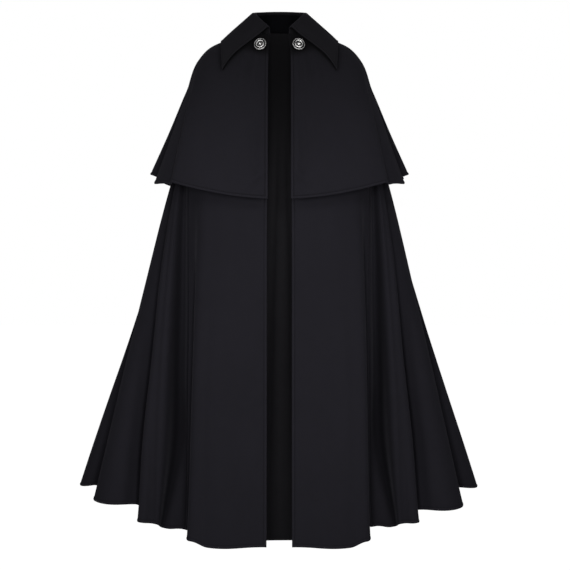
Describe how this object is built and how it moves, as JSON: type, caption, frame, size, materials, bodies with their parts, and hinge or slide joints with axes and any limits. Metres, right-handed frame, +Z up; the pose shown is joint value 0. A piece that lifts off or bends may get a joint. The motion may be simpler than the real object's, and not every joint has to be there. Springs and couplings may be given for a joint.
{
  "type": "wool cloak with shoulder capelet",
  "caption": "Long open-front wool cloak with a shoulder capelet, pointed fall collar and domed metal buttons, hollow as worn.",
  "frame": {"origin": "middle of the neck seam, where the wearer's neck and shoulders carry the cloak", "axes": "+Z up along the wearer, the open front faces -Y, +X is the wearer's left"},
  "size_m": [0.9259, 0.6415, 1.2769],
  "materials": {
    "wool": "matte twill coating, black",
    "button_metal": "satin pewter"
  },
  "bodies": {
    "root": {"cloak_front_right": "wool", "cloak_front_left": "wool", "cloak_back": "wool", "cape_front_right": "wool", "cape_front_left": "wool", "cape_back": "wool", "collar_stand": "wool", "collar_fall": "wool", "button_right": "button_metal", "button_left": "button_metal"}
  },
  "joints": []
}
